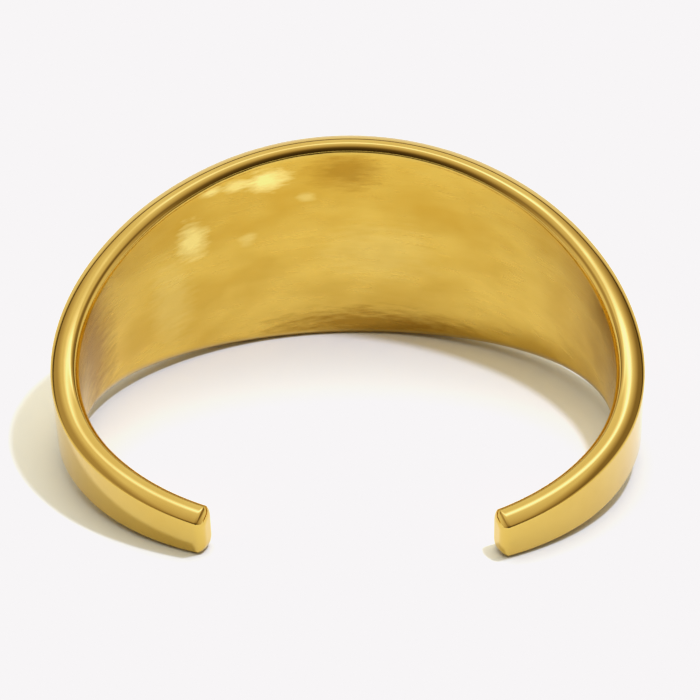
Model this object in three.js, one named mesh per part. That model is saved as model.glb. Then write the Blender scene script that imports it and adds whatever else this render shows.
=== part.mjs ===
import * as THREE from "three";

// An open cuff bracelet: one strip of metal bent round the wrist, tall at the front and narrow at its two tips.
// Sizes are millimetres and angles degrees. The outer face is traced from the middle of the front, where along is 0,
// to each tip, where along is 1. The bend is a little tighter on the left than on the right.
const rightLength = 78.4; // round the outer face, from the middle of the front to a tip
const leftLength = 77.6;
const bend = [
  { along: 0, rightRadius: 34.8, leftRadius: 34.8, height: 28.1 },
  { along: 1 / 7, rightRadius: 34.0, leftRadius: 33.9, height: 26.75 },
  { along: 2 / 7, rightRadius: 31.8, leftRadius: 33.0, height: 22.95 },
  { along: 3 / 7, rightRadius: 28.7, leftRadius: 27.4, height: 17.55 },
  { along: 4 / 7, rightRadius: 26.5, leftRadius: 23.8, height: 12.2 },
  { along: 5 / 7, rightRadius: 24.4, leftRadius: 23.4, height: 8.25 },
  { along: 6 / 7, rightRadius: 24.5, leftRadius: 25.8, height: 6.7 },
  { along: 1, rightRadius: 29.9, leftRadius: 31.1, height: 5.2 },
];

const wall = 3.05; // from the outer face to the inner face
const outerEdgeRadius = 0.34; // small round where the outer face meets each rim
const edgeSlope = 32; // how steeply the crowned rim rises from that round
const ridgePlace = 1.95; // from the outer face to the highest line of the rim
const tipRadius = 1.15; // round of each tip towards its flat end
const tipSlope = 24; // how steeply that round starts

const facingTurn = -0.85; // turn about the upright that sets both tips square
const restTilt = 13.29; // the cuff leans back until both tips and the front touch the floor
const restLean = -0.75; // evens out the two tips on the floor
const restFlat = 0.06; // depth of the flats worn where it touches the floor

const traceSteps = 700; // heading steps along each half
const stationsPerHalf = 46;
const tipStations = 6; // rings round each tip
const edgeSteps = 4; // points round the small outer edge
const slopeSteps = 5; // points up the rim to its ridge
const innerSteps = 7; // points from the ridge round to the inner face

const radians = THREE.MathUtils.degToRad;

// Smooth curve through evenly spaced values, with the value before the first given by hand.
function smoothAt(values, before, along) {
  const last = values.length - 1;
  const row = Math.min(Math.floor(along * last), last - 1);
  const t = along * last - row;
  const a = row > 0 ? values[row - 1] : before;
  const b = values[row];
  const c = values[row + 1];
  const d = row + 2 <= last ? values[row + 2] : 2 * c - b;
  const linear = (c - a) * t;
  const square = (2 * a - 5 * b + 4 * c - d) * t * t;
  const cube = (3 * b - a - 3 * c + d) * t * t * t;
  return (2 * b + linear + square + cube) / 2;
}

// Points of the outer face from the middle of the front to a tip, by adding up short steps along the heading.
function traceHalf(side, otherSide, length) {
  const own = bend.map((row) => 1 / row[side]);
  const other = bend.map((row) => 1 / row[otherSide]);
  const heights = bend.map((row) => row.height);
  const step = length / traceSteps;
  const trace = [];
  let heading = 0;
  let across = 0;
  let forward = 0;
  for (let i = 0; i <= traceSteps; i++) {
    const along = i / traceSteps;
    const height = smoothAt(heights, heights[1], along);
    trace.push({ across, forward, heading, height });
    const turn = step * smoothAt(own, other[1], Math.min(along + 0.5 / traceSteps, 1));
    across += step * Math.cos(heading + turn / 2);
    forward -= step * Math.sin(heading + turn / 2);
    heading += turn;
  }
  return trace;
}

function traceAt(trace, along) {
  const row = Math.min(Math.floor(along * traceSteps), traceSteps - 1);
  const t = along * traceSteps - row;
  const from = trace[row];
  const to = trace[row + 1];
  const mix = (name) => from[name] + (to[name] - from[name]) * t;
  return { across: mix("across"), forward: mix("forward"), heading: mix("heading"), height: mix("height") };
}

// Stations of one half: even along the strip, then closing in on an arc round the tip.
function stationsOf(trace, length, mirror) {
  const stations = [];
  const start = radians(tipSlope);
  const straight = 1 - (tipRadius * (1 - Math.sin(start))) / length;
  for (let i = 0; i <= stationsPerHalf; i++) {
    stations.push({ ...traceAt(trace, (straight * i) / stationsPerHalf), inset: 0, mirror });
  }
  for (let i = 1; i <= tipStations; i++) {
    const angle = start + ((Math.PI / 2 - start) * i) / tipStations;
    const along = straight + (tipRadius * (Math.sin(angle) - Math.sin(start))) / length;
    const inset = tipRadius * (Math.cos(start) - Math.cos(angle));
    stations.push({ ...traceAt(trace, along), inset, mirror });
  }
  return stations;
}

// Points round an arc, without its first. Angles are measured from outwards towards up.
function arcPoints(out, up, radius, from, to, steps) {
  return Array.from({ length: steps }, (_, i) => {
    const angle = radians(from + ((to - from) * (i + 1)) / steps);
    return { out: out + radius * Math.cos(angle), up: up + radius * Math.sin(angle) };
  });
}

// Upper half of the section, as points outwards of the outer face and up from the middle of the band.
function upperSection(height) {
  const bevel = 90 - edgeSlope;
  const slopeRadius = outerEdgeRadius + (ridgePlace - outerEdgeRadius) / Math.cos(radians(bevel));
  const innerRadius = wall - ridgePlace;
  const top = height / 2;
  const edgeUp = top - slopeRadius + (slopeRadius - outerEdgeRadius) * Math.sin(radians(bevel));
  return [
    { out: 0, up: edgeUp },
    ...arcPoints(-outerEdgeRadius, edgeUp, outerEdgeRadius, 0, bevel, edgeSteps),
    ...arcPoints(-ridgePlace, top - slopeRadius, slopeRadius, bevel, 90, slopeSteps),
    ...arcPoints(-ridgePlace, top - innerRadius, innerRadius, 90, 180, innerSteps),
  ];
}

// The closed section of a station, drawn in towards its own middle by the inset.
function sectionOf(height, inset) {
  const upper = upperSection(height);
  const lower = upper.map((point) => ({ out: point.out, up: -point.up })).reverse();
  const wide = 1 - (2 * inset) / wall;
  const tall = 1 - (2 * inset) / height;
  return [{ out: 0, up: 0 }, ...upper, { out: -wall, up: 0 }, ...lower].map((point) => ({
    out: -wall / 2 + (point.out + wall / 2) * wide,
    up: point.up * tall,
  }));
}

function placeOn(station, point) {
  const across = station.across + point.out * Math.sin(station.heading);
  const forward = station.forward + point.out * Math.cos(station.heading);
  return [station.mirror * across, forward, point.up];
}

// One closed surface through rings of equal length, with a flat fan over each end.
function loft(rings) {
  const count = rings[0].length;
  const positions = rings.flat(2);
  const index = [];
  for (let i = 0; i < rings.length - 1; i++) {
    for (let j = 0; j < count; j++) {
      const next = (j + 1) % count;
      const a = i * count + j;
      const b = i * count + next;
      index.push(a, b, a + count, b, b + count, a + count);
    }
  }
  for (const [ring, flip] of [[0, true], [rings.length - 1, false]]) {
    const middle = positions.length / 3;
    const sum = rings[ring].reduce((total, p) => total.map((value, k) => value + p[k]), [0, 0, 0]);
    positions.push(...sum.map((value) => value / count));
    for (let j = 0; j < count; j++) {
      const a = ring * count + j;
      const b = ring * count + ((j + 1) % count);
      index.push(...(flip ? [b, a, middle] : [a, b, middle]));
    }
  }
  const geometry = new THREE.BufferGeometry();
  geometry.setAttribute("position", new THREE.Float32BufferAttribute(positions, 3));
  geometry.setIndex(index);
  return geometry;
}

// Lays the cuff on the floor as it lies by itself, centred over the origin, with small flats where it touches.
function settle(geometry) {
  geometry.rotateZ(radians(facingTurn)).rotateX(radians(restTilt)).rotateY(radians(restLean));
  geometry.computeBoundingBox();
  const { min, max } = geometry.boundingBox;
  geometry.translate(-(min.x + max.x) / 2, -(min.y + max.y) / 2, -min.z - restFlat);
  const place = geometry.getAttribute("position");
  for (let i = 0; i < place.count; i++) {
    place.setZ(i, Math.max(place.getZ(i), 0));
  }
  return geometry;
}

const right = stationsOf(traceHalf("rightRadius", "leftRadius", rightLength), rightLength, 1);
const left = stationsOf(traceHalf("leftRadius", "rightRadius", leftLength), leftLength, -1);
const stations = [...left.slice(1).reverse(), ...right];
const rings = stations.map((station) =>
  sectionOf(station.height, station.inset).map((point) => placeOn(station, point)),
);

const gold = new THREE.MeshStandardMaterial({ color: 0xd4ad52, roughness: 0.22, metalness: 1 });
const band = new THREE.Mesh(settle(loft(rings)), gold);
band.name = "cuff_band";

const cuff = new THREE.Group();
cuff.name = "cuff";
cuff.add(band);

export default cuff;
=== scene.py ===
import bpy
import numpy as np
from mathutils import Matrix, Vector


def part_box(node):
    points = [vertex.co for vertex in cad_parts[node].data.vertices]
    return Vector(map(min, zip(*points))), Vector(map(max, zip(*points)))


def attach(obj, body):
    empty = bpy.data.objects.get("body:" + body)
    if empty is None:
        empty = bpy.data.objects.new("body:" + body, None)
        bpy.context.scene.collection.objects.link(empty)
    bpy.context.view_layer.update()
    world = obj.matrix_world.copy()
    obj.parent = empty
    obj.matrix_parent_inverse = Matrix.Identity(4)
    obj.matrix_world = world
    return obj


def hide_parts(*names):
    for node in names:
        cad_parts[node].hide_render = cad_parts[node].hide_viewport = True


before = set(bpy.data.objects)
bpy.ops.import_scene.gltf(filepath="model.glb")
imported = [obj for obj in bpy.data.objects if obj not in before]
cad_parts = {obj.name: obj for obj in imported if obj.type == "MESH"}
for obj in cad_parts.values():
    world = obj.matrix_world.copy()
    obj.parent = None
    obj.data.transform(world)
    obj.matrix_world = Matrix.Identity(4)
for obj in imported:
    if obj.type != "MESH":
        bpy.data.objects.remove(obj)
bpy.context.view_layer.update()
bandLow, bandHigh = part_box("cuff_band")
print("frame loaded, cuff", [round(1000 * side, 1) for side in bandHigh - bandLow], "mm")


# The band: one strip bent round the wrist, in metres. Each row of bend is a seventh of the way from the
# middle of the front to a tip: radius on the right, radius on the left, height.
cuffBand = {
    "bend": [
        (0.0348, 0.0348, 0.02810),
        (0.0340, 0.0339, 0.02675),
        (0.0318, 0.0330, 0.02295),
        (0.0287, 0.0274, 0.01755),
        (0.0265, 0.0238, 0.01220),
        (0.0244, 0.0234, 0.00825),
        (0.0245, 0.0258, 0.00670),
        (0.0299, 0.0311, 0.00520),
    ],
    "rightLength": 0.0784,
    "leftLength": 0.0776,
    "wall": 0.00305,
    "outerEdgeRadius": 0.00034,
    "edgeSlope": 32,      # degrees the crowned rim rises from the outer edge
    "ridgePlace": 0.00195,  # from the outer face to the highest line of the rim
    "tipRadius": 0.00115,
    "tipSlope": 24,       # degrees that round starts with
    "facingTurn": -0.85,  # degrees about the upright
    "restTilt": 13.29,    # degrees it leans on the floor
    "restLean": -0.75,
    "restFlat": 0.00006,
    "traceSteps": 2800,
    "stationsPerHalf": 300,
    "tipStations": 14,
    "facePoints": 12,     # across half of the outer face, and half of the inner one
    "edgePoints": 7,
    "slopePoints": 12,
    "innerPoints": 12,
    "capRings": 4,
    "satinFade": 0.0006,  # over which the satin finish gives way to the polished rim
}


# Smooth curve through evenly spaced rows: at each place, the cubic that passes through the two rows beside it
# with the slopes of their neighbours. The row before the first is given, and the row after the last goes
# straight on.
def smoothThrough(rows, before, place):
    rows = np.asarray(rows)
    padded = np.concatenate([[before], rows, [2 * rows[-1] - rows[-2]]])
    last = len(rows) - 1
    row = np.minimum((place * last).astype(int), last - 1)
    t = place * last - row
    a, b, c, d = (padded[row + k] for k in range(4))
    square = 2 * a - 5 * b + 4 * c - d
    cube = 3 * b - a - 3 * c + d
    return (2 * b + (c - a) * t + square * t ** 2 + cube * t ** 3) / 2


# One half of the outer face, from the middle of the front: the heading is the running sum of step over
# radius, and the place is the running sum of the step along the heading. Side 0 is the right and 1 the left.
def traceHalf(size, side, places):
    table = np.array(size["bend"])
    own, other, heights = 1 / table[:, side], 1 / table[:, 1 - side], table[:, 2]
    length = size["rightLength"] if side == 0 else size["leftLength"]
    steps = size["traceSteps"]
    middles = (np.arange(steps) + 0.5) / steps
    turn = smoothThrough(own, other[1], middles) * length / steps
    heading = np.concatenate([[0], np.cumsum(turn)])
    facing = heading[:-1] + turn / 2
    across = np.concatenate([[0], np.cumsum(np.cos(facing))]) * length / steps
    forward = -np.concatenate([[0], np.cumsum(np.sin(facing))]) * length / steps
    grid = np.linspace(0, 1, steps + 1)
    mirror = 1 if side == 0 else -1

    def pick(values):
        return np.interp(places, grid, values)

    return {
        "along": mirror * places * length,
        "across": mirror * pick(across),
        "forward": pick(forward),
        "outX": mirror * np.sin(pick(heading)),
        "outY": np.cos(pick(heading)),
        "height": smoothThrough(heights, heights[1], places),
    }


# Stations from the left tip to the right one. Towards a tip they close in on an arc: along goes as the sine
# of its angle, and the section is drawn in as the cosine falls.
def bandStations(size):
    halves = []
    for side, length in ((1, size["leftLength"]), (0, size["rightLength"])):
        start = np.radians(size["tipSlope"])
        straight = 1 - size["tipRadius"] * (1 - np.sin(start)) / length
        angle = np.linspace(start, np.pi / 2, size["tipStations"] + 1)[1:]
        body = np.linspace(0, straight, size["stationsPerHalf"] + 1)
        tip = straight + size["tipRadius"] / length * (np.sin(angle) - np.sin(start))
        half = traceHalf(size, side, np.concatenate([body, tip]))
        half["inset"] = np.concatenate([0 * body, size["tipRadius"] * (np.cos(start) - np.cos(angle))])
        halves.append(half)
    left, right = halves
    return {name: np.concatenate([left[name][:0:-1], right[name]]) for name in left}


# Points round an arc, its angle measured from outwards towards up, for every height at once.
def arcAt(out, up, radius, angles):
    return out + 0 * up + radius * np.cos(angles), up + radius * np.sin(angles)


# The section of every station as a grid, stations by points round it: flat outer face, small arc at the
# outer edge, long arc up the rim to its ridge, short arc down to the inner face, flat inner face, and the
# same mirrored below. Points on the flats crowd towards the edges, as the sine of an even angle.
def bandSections(size, stations):
    wall, radius, ridge = size["wall"], size["outerEdgeRadius"], size["ridgePlace"]
    top = stations["height"][:, None] / 2
    bevel = np.radians(90 - size["edgeSlope"])
    slope = radius + (ridge - radius) / np.cos(bevel)
    inner = wall - ridge
    edgeUp = top - slope + (slope - radius) * np.sin(bevel)
    crowd = np.sin(np.linspace(0, np.pi / 2, size["facePoints"] + 1))[None, :]

    def sweep(start, end, count):
        return np.linspace(start, end, count + 1)[None, 1:]

    pieces = [
        (0 * edgeUp * crowd, edgeUp * crowd),
        arcAt(-radius, edgeUp, radius, sweep(0, bevel, size["edgePoints"])),
        arcAt(-ridge, top - slope, slope, sweep(bevel, np.pi / 2, size["slopePoints"])),
        arcAt(-ridge, top - inner, inner, sweep(np.pi / 2, np.pi, size["innerPoints"])),
        (0 * edgeUp * crowd[:, 1:] - wall, (top - inner) * crowd[:, -2::-1]),
    ]
    out = np.hstack([across for across, _ in pieces])
    up = np.hstack([height for _, height in pieces])
    out, up = np.hstack([out, out[:, -2:0:-1]]), np.hstack([up, -up[:, -2:0:-1]])
    inset = stations["inset"][:, None]
    wide, tall = 1 - 2 * inset / wall, 1 - inset / top
    return -wall / 2 + (out + wall / 2) * wide, up * tall


# Rings that shrink straight towards the middle of the end ring close each tip with a flat. The first one
# stays close to the edge, so that the flat shades as a flat.
def capRings(ring, count):
    middle = ring.mean(axis=0)
    shares = np.concatenate([[0.96], 0.9 * np.linspace(1, 0, count + 1)[1:-1]])
    return middle + shares[:, None, None] * (ring - middle), middle


# Turned about the upright, leaned back about X and evened out about Y, then set down in the frame's box,
# with a flat where it touches the floor.
def settleBand(size, points, low, high):
    turn = Matrix.Rotation(np.radians(size["facingTurn"]), 3, "Z")
    tilt = Matrix.Rotation(np.radians(size["restTilt"]), 3, "X")
    lean = Matrix.Rotation(np.radians(size["restLean"]), 3, "Y")
    points = points @ np.array(lean @ tilt @ turn).T
    least, most = points.min(axis=0), points.max(axis=0)
    points = points + [(low.x + high.x - least[0] - most[0]) / 2, (low.y + high.y - least[1] - most[1]) / 2,
                       low.z - least[2] - size["restFlat"]]
    points[:, 2] = np.maximum(points[:, 2], low.z)
    return points


# The band: out along each station's own outward direction and up, as quads between the rings, with a fan of
# triangles in the middle of each end flat. innerFace is 1 on the inner face and falls to 0 at its edges.
# stripPlace is how far along, up and in from the outer face each point is, for the finish.
def makeBand(size, low, high):
    stations = bandStations(size)
    out, up = bandSections(size, stations)
    x = stations["across"][:, None] + out * stations["outX"][:, None]
    y = stations["forward"][:, None] + out * stations["outY"][:, None]
    grid = np.stack([x, y, up], axis=2)
    deep = -out > 0.9 * size["wall"]
    clear = stations["height"][:, None] / 2 - size["wall"] + size["ridgePlace"] - np.abs(up)
    inside = np.clip(clear / size["satinFade"] + 0.7, 0, 1) * deep
    place = np.stack([stations["along"][:, None] + 0 * out, up, -out], axis=2)

    startCap, startMiddle = capRings(grid[0], size["capRings"])
    endCap, endMiddle = capRings(grid[-1], size["capRings"])
    rings = np.concatenate([startCap[::-1], grid, endCap])
    extra = len(startCap)
    rows, columns = rings.shape[:2]
    inside, place = (np.pad(values, [(extra, extra)] + [(0, 0)] * (values.ndim - 1), "edge")
                     for values in (inside, place))
    points = np.concatenate([rings.reshape(-1, 3), [startMiddle, endMiddle]])

    i, j = np.meshgrid(np.arange(rows - 1), np.arange(columns), indexing="ij")
    after = (j + 1) % columns
    here, above = i * columns, (i + 1) * columns
    quads = np.stack([here + j, here + after, above + after, above + j], axis=2)
    j = np.arange(columns)
    after = (j + 1) % columns
    startFan = np.stack([after, j, 0 * j + rows * columns], axis=1)
    top = (rows - 1) * columns
    endFan = np.stack([top + j, top + after, 0 * j + rows * columns + 1], axis=1)

    mesh = bpy.data.meshes.new("goldCuff")
    points = settleBand(size, points, low, high)
    faces = quads.reshape(-1, 4).tolist() + startFan.tolist() + endFan.tolist()
    mesh.from_pydata(points.tolist(), [], faces)
    mesh.polygons.foreach_set("use_smooth", np.ones(len(mesh.polygons), dtype=bool))
    mask = mesh.attributes.new("innerFace", "FLOAT", "POINT")
    mask.data.foreach_set("value", np.concatenate([inside.ravel(), [0, 0]]))
    strip = mesh.attributes.new("stripPlace", "FLOAT_VECTOR", "POINT")
    place = np.concatenate([place.reshape(-1, 3), place[:1, 0], place[-1:, 0]])
    strip.data.foreach_set("vector", place.ravel())
    mesh.validate()
    mesh.update()
    piece = bpy.data.objects.new("goldCuff", mesh)
    bpy.context.collection.objects.link(piece)
    return piece


# A socket's value. The operators add Math nodes, so a formula in a material reads as it is written.
class Value:
    def __init__(self, tree, socket):
        self.tree = tree
        self.socket = socket

    def math(self, operation, first, second=0):
        return self.tree.add("ShaderNodeMath", {"operation": operation}, {0: first, 1: second})

    def __add__(self, other):
        return self.math("ADD", self, other)

    def __radd__(self, other):
        return self.math("ADD", other, self)

    def __sub__(self, other):
        return self.math("SUBTRACT", self, other)

    def __rsub__(self, other):
        return self.math("SUBTRACT", other, self)

    def __mul__(self, other):
        return self.math("MULTIPLY", self, other)

    def __rmul__(self, other):
        return self.math("MULTIPLY", other, self)

    def __pow__(self, other):
        return self.math("POWER", self, other)

    def __abs__(self):
        return self.math("ABSOLUTE", self)


# The nodes of one material or world. add makes any node: its settings first, then its sockets.
class NodeTree:
    def __init__(self, owner):
        owner.use_nodes = True
        self.tree = owner.node_tree
        self.tree.nodes.clear()

    def add(self, kind, settings=None, sockets=None, output=0):
        node = self.tree.nodes.new(kind)
        for name, value in (settings or {}).items():
            if name == "stops":
                for k, (place, shade) in enumerate(value):
                    stop = node.color_ramp.elements[k] if k < 2 else node.color_ramp.elements.new(place)
                    stop.position = place
                    stop.color = shade
            else:
                setattr(node, name, value)
        for name, value in (sockets or {}).items():
            if isinstance(value, Value):
                self.tree.links.new(value.socket, node.inputs[name])
            else:
                node.inputs[name].default_value = value
        return Value(self, node.outputs[output]) if len(node.outputs) else node


# value moved from the span (low, high) to the span (start, end), and held inside it
def remap(nodes, value, low, high, start, end):
    return nodes.add("ShaderNodeMapRange", {"clamp": True},
                     {"Value": value, "From Min": low, "From Max": high, "To Min": start, "To Max": end})


# from the first colour to the second
def blend(nodes, factor, first, second):
    return nodes.add("ShaderNodeMix", {"data_type": "RGBA"}, {"Factor": factor, 6: first, 7: second}, 2)


# The gold's colours, how rough its two finishes are, and the painted highlights and painted reflections on
# the inner face. Each row of the patch table is a patch painted into the colour: along and up the strip, half
# its width and half its height, all in millimetres, and how pale it is. A pale patch is a painted highlight;
# a patch below nought is darker, a painted reflection.
goldFinish = {
    "gold": (0.71, 0.492, 0.115, 1),
    "satinGold": (0.73, 0.495, 0.092, 1),
    "deepGold": (0.58, 0.34, 0.035, 1),
    "paintedFloorReflectionGold": (0.99, 0.71, 0.15, 1),
    "paintedHighlightGold": (0.98, 0.82, 0.28, 1),
    "paintedReflectionBrown": (0.40, 0.21, 0.02, 1),
    "polishedRoughness": 0.06,
    "satinRoughness": 0.26,
    "brushDepth": 0.000010,
    "hammerDepth": 0.00018,
    "paintedLightPatches": [
        (-9.6, 10.4, 2.8, 1.5, 1.0),
        (-13.5, 10.7, 1.6, 0.8, 0.7),
        (-20.2, 5.0, 2.2, 2.6, 0.8),
        (-17.3, 10.9, 1.5, 0.6, 0.8),
        (-12.6, 2.6, 1.2, 0.9, 0.35),
        (-4.8, 7.2, 1.2, 0.7, 0.35),
        (-24.0, -2.5, 3.2, 6.0, 0.25),
        (4.0, -1.0, 7.0, 4.0, 0.20),
        (0.3, 10.6, 4.4, 2.6, -0.75),
        (4.0, -12.2, 15.0, 2.6, -0.9),
        (46.0, 0.0, 3.0, 9.0, -0.35),
        (-40.0, 0.0, 5.0, 9.0, -0.8),
    ],
}


# Gold, mirror bright on the outer face and rims and brushed satin on the inner face, whose colour also holds
# painted highlights and painted reflections.
def makeGold(finish):
    material = bpy.data.materials.new("gold")
    nodes = NodeTree(material)
    inner = nodes.add("ShaderNodeAttribute", {"attribute_name": "innerFace"}, output="Fac")
    strip = nodes.add("ShaderNodeAttribute", {"attribute_name": "stripPlace"}, output="Vector")
    place = nodes.add("ShaderNodeTexCoord", output="Object")

    def noise(vector, scale, stretch, detail, rough):
        moved = nodes.add("ShaderNodeMapping", {}, {"Vector": vector, "Scale": stretch})
        return nodes.add("ShaderNodeTexNoise", {"noise_dimensions": "3D"},
                         {"Vector": moved, "Scale": scale, "Detail": detail, "Roughness": rough}, "Fac")

    perMetre = 1000   # so that a stretch is in marks per millimetre
    brush = noise(strip, perMetre, (0.16, 4.2, 1), 3, 0.6)      # lines a quarter millimetre apart
    coarseBrush = noise(strip, perMetre, (0.05, 1.1, 1), 2, 0.5)
    clouds = noise(strip, perMetre, (0.07, 0.15, 1), 3, 0.55)   # soft mottling, about 8 mm across
    ragged = noise(strip, perMetre, (0.30, 1.5, 1), 3, 0.65)    # breaks the marks along the brush lines
    smudges = noise(place, 180, (1, 1, 1), 3, 0.6)
    scratches = noise(strip, perMetre, (0.3, 9.0, 3.0), 2, 0.7)

    split = nodes.add("ShaderNodeSeparateXYZ", {}, {"Vector": strip}).socket.node
    along, up = Value(nodes, split.outputs[0]), Value(nodes, split.outputs[1])

    # one painted patch, a painted highlight when pale and a painted darker reflection when dark: its strength
    # at its middle, falling to nought at its ragged rim
    def mark(row):
        across = (along - row[0] * 0.001) * (1000 / row[2])
        rise = (up - row[1] * 0.001) * (1000 / row[3])
        far = (across * across + rise * rise) ** 0.5 + 1.6 * (ragged - 0.5)
        return remap(nodes, far, 0.35, 1.25, abs(row[4]), 0)

    # pale gathers the painted highlights, dark the painted darker reflections
    pale, dark = 0, 0
    for row in finish["paintedLightPatches"]:
        if row[4] > 0:
            pale = mark(row) + pale
        else:
            dark = mark(row) + dark

    tone = remap(nodes, clouds, 0.36, 0.64, 0, 1)
    # low makes the inner face lighter towards the bottom: a painted reflection of the bright floor in front
    # of it
    low = remap(nodes, up, -0.004, 0.007, 0.45, 0) * (1.2 - 0.6 * tone)
    smudge = remap(nodes, smudges, 0.4, 0.75, 0, 1)
    colour = blend(nodes, smudge * 0.22, finish["gold"], finish["deepGold"])
    colour = blend(nodes, inner, colour, finish["satinGold"])
    colour = blend(nodes, inner * (0.15 + 0.65 * tone), colour, finish["deepGold"])
    colour = blend(nodes, inner * low, colour, finish["paintedFloorReflectionGold"])
    # painted darker reflections: brown patches, the one along the lower edge a painted reflection of the
    # floor's shadow
    colour = blend(nodes, inner * dark, colour, finish["paintedReflectionBrown"])
    # painted highlights: pale gold patches painted into the inner face's colour
    colour = blend(nodes, inner * pale, colour, finish["paintedHighlightGold"])
    polished = finish["polishedRoughness"] + 0.06 * smudge
    satin = finish["satinRoughness"] + 0.12 * (brush - 0.5) - 0.08 * remap(nodes, clouds, 0.5, 0.75, 0, 1)
    roughness = inner * satin + (1 - inner) * polished

    height = inner * (brush + coarseBrush * 1.2) * finish["brushDepth"]
    height = height + inner * clouds * finish["hammerDepth"]
    height = height + (1 - inner) * scratches * (finish["brushDepth"] * 0.05)
    bump = nodes.add("ShaderNodeBump", {}, {"Height": height, "Distance": 1.0, "Strength": 1.0})
    shader = nodes.add("ShaderNodeBsdfPrincipled", {},
                       {"Base Color": colour, "Roughness": roughness, "Normal": bump, "Metallic": 1.0})
    nodes.add("ShaderNodeOutputMaterial", {}, {"Surface": shader})
    return material


cuff = makeBand(cuffBand, bandLow, bandHigh)
cuff.data.materials.append(makeGold(goldFinish))
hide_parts("cuff_band")
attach(cuff, "root")
print("band made,", len(cuff.data.polygons), "faces")


studio = {
    "floorSize": 6.0,
    "floorShade": (0.86, 0.85, 0.855, 1),
    "keyPlace": (0.089, -0.051, 0.281),  # from the middle of the cuff's foot
    "keyWidth": 0.022,
    "keyPower": 4.3,                     # the same at any distance
    "keyColour": (0.88, 0.98, 1.28),
    "backdrop": 0.92,                    # beyond the floor's far edge
    "panelColour": (0.92, 1.0, 1.7, 1),
    "dimColour": (1.0, 0.70, 0.34, 1),   # the room's dark parts, warm
    "fillColour": (1.03, 1.015, 0.85, 1),
    "fillStrength": 2.3,
    "offMetal": 1.6,                     # how much more of it reaches the floor off the metal
    # how bright the room is, from the open side (0) to behind the front (1)
    "depthStops": [(0, 0.05), (0.03, 0.06), (0.08, 0.10), (0.14, 0.20), (0.20, 0.42), (0.28, 0.64),
                   (0.38, 0.82), (0.5, 0.97), (1, 1.04)],
    "panelPlace": 0.17,                  # how far back the bright panel stands, as a direction's Y
    "panelBend": 1.6,                    # how much further back towards its ends
    "panelWidth": 0.17,
    "gapPlace": 0.575,                   # how high the dim gap is, as a direction's Z
    "gapDimness": 0.85,
    "rightDimness": 0.70,
    "leftDimness": 0.45,
}


def makeFloor(size):
    half = size["floorSize"] / 2
    mesh = bpy.data.meshes.new("floor")
    corners = [(-half, -half, 0), (half, -half, 0), (half, half, 0), (-half, half, 0)]
    mesh.from_pydata(corners, [], [(0, 1, 2, 3)])
    floor = bpy.data.objects.new("floor", mesh)
    bpy.context.collection.objects.link(floor)
    material = bpy.data.materials.new("paleFloor")
    nodes = NodeTree(material)
    shader = nodes.add("ShaderNodeBsdfPrincipled", {},
                       {"Base Color": size["floorShade"], "Roughness": 0.9, "Specular IOR Level": 0.0})
    nodes.add("ShaderNodeOutputMaterial", {}, {"Surface": shader})
    mesh.materials.append(material)


# A small disk lamp close by, aimed at the middle of the cuff's foot. The metal doesn't mirror it.
def makeKeyLight(size, low, high):
    light = bpy.data.lights.new("keyLight", "AREA")
    light.shape = "DISK"
    light.size = size["keyWidth"]
    light.energy = size["keyPower"]
    light.color = size["keyColour"]
    nodes = NodeTree(light)
    even = nodes.add("ShaderNodeLightFalloff", {}, {"Strength": 1.0}, "Constant")
    glow = nodes.add("ShaderNodeEmission", {}, {"Strength": even})
    nodes.add("ShaderNodeOutputLight", {}, {"Surface": glow})
    foot = Vector(((low.x + high.x) / 2, (low.y + high.y) / 2, low.z))
    lamp = bpy.data.objects.new("keyLight", light)
    turn = Vector(size["keyPlace"]).to_track_quat("Z", "Y")
    lamp.matrix_world = Matrix.Translation(foot + Vector(size["keyPlace"])) @ turn.to_matrix().to_4x4()
    lamp.visible_glossy = False
    bpy.context.collection.objects.link(lamp)


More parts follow.
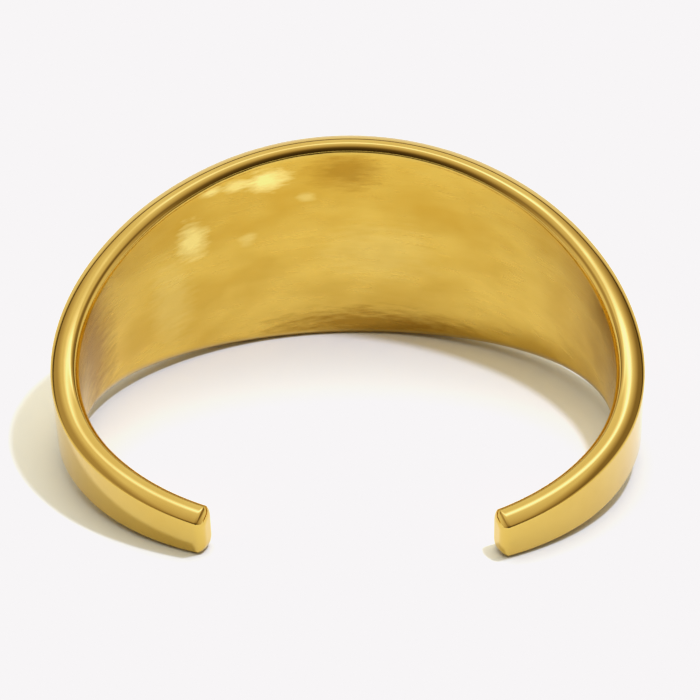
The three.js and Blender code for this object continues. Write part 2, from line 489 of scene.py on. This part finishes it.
# The room as a light. What the metal mirrors is a white wall behind with a dim gap above it, a white ceiling
# with a bright panel that bends back at its ends, and a room that darkens towards the open side and is dim
# above both sides. What lights the floor is a softer ceiling, brighter overhead and brighter off the metal.
def makeRoom(size):
    world = bpy.data.worlds.new("room")
    bpy.context.scene.world = world
    nodes = NodeTree(world)
    towards = nodes.add("ShaderNodeTexCoord", output="Generated")
    parts = nodes.add("ShaderNodeSeparateXYZ", {}, {"Vector": towards}).socket.node
    x, y, z = (Value(nodes, parts.outputs[k]) for k in range(3))
    grey = [(place, (shade, shade, shade, 1)) for place, shade in size["depthStops"]]
    depth = nodes.add("ShaderNodeValToRGB", {"stops": grey}, {"Fac": y * 0.5 + 0.5})
    offPanel = abs(y - size["panelPlace"] - size["panelBend"] * x * x)
    offGap = abs(z - size["gapPlace"])
    panel = remap(nodes, offPanel, 0.0, size["panelWidth"], 1, 0) ** 1.5
    panel = panel * remap(nodes, abs(x), 0.26, 0.38, 1, 0) * remap(nodes, x, -0.2, 0.2, 0.9, 1.6)
    gap = remap(nodes, offGap, 0.03, 0.05, 1, 0) * remap(nodes, y, 0.1, 0.3, 0, 1)
    right = remap(nodes, x, 0.36, 0.60, 0, 1) * remap(nodes, z, 0.45, 0.62, 0, 1)
    left = remap(nodes, x, -0.60, -0.42, 1, 0) * remap(nodes, z, 0.45, 0.62, 0, 1)
    room = (depth + panel) * (1 - size["gapDimness"] * gap)
    room = room * (1 - size["rightDimness"] * right) * (1 - size["leftDimness"] * left)
    bounced = nodes.add("ShaderNodeLightPath", output="Is Glossy Ray") * size["offMetal"] + 1
    fill = z * z * z * (1 + 0.5 * y) * bounced * size["fillStrength"]
    floorRays = remap(nodes, nodes.add("ShaderNodeLightPath", output="Diffuse Depth"), 0, 1, 0, 1)
    camera = nodes.add("ShaderNodeLightPath", output="Is Camera Ray")
    white = remap(nodes, room, 0.1, 1.1, 0, 1)
    mirrored = blend(nodes, panel, blend(nodes, white, size["dimColour"], (1, 1, 1, 1)), size["panelColour"])
    colour = blend(nodes, floorRays, mirrored, size["fillColour"])
    strength = room * (1 - floorRays) + fill * floorRays
    strength = strength * (1 - camera) + size["backdrop"] * camera
    background = nodes.add("ShaderNodeBackground", {}, {"Color": colour, "Strength": strength})
    nodes.add("ShaderNodeOutputWorld", {}, {"Surface": background})


# The picture's whites: straight up to the floor's white, level over it, and on up to full for the glints.
def setTone(scene):
    scene.view_settings.view_transform = "Standard"
    scene.view_settings.use_curve_mapping = True
    mapping = scene.view_settings.curve_mapping
    mapping.clip_max_x = 3
    mapping.clip_max_y = 3
    for curve, white in zip(mapping.curves, (0.930, 0.913, 0.922)):
        curve.points[0].location = (0, 0)
        curve.points[1].location = (white, white)
        for place in ((1.16, white), (1.6, 1.0)):
            curve.points.new(*place)
        for point in curve.points:
            point.handle_type = "VECTOR"
    mapping.update()


makeFloor(studio)
makeKeyLight(studio, bandLow, bandHigh)
makeRoom(studio)
setTone(bpy.context.scene)
print("studio lit")


cameraView = {
    "elevation": 27.11,   # degrees above the floor
    "azimuth": 0.391,
    "roll": -0.841,
    "distance": 0.300,
    "aim": (0.00006, 0.00738, -0.00343),  # from the middle of the cuff's box
    "lens": 137.57,
    "shift": (0.00499, -0.03943),
}


def makeCamera(view, low, high):
    data = bpy.data.cameras.new("camera")
    data.lens = view["lens"]
    data.sensor_width = 36
    data.shift_x, data.shift_y = view["shift"]
    data.clip_start = 0.01
    up, about = np.radians(view["elevation"]), np.radians(view["azimuth"])
    forward = Vector((np.sin(about) * np.cos(up), np.cos(about) * np.cos(up), -np.sin(up)))
    level = forward.cross(Vector((0, 0, 1))).normalized()
    side = Matrix.Rotation(-np.radians(view["roll"]), 3, forward) @ level
    place = (low + high) / 2 + Vector(view["aim"]) - forward * view["distance"]
    turn = Matrix((side, side.cross(forward), -forward)).transposed()
    camera = bpy.data.objects.new("camera", data)
    camera.matrix_world = Matrix.Translation(place) @ turn.to_4x4()
    bpy.context.collection.objects.link(camera)
    bpy.context.scene.camera = camera


makeCamera(cameraView, bandLow, bandHigh)
print("camera set")

bpy.context.view_layer.update()
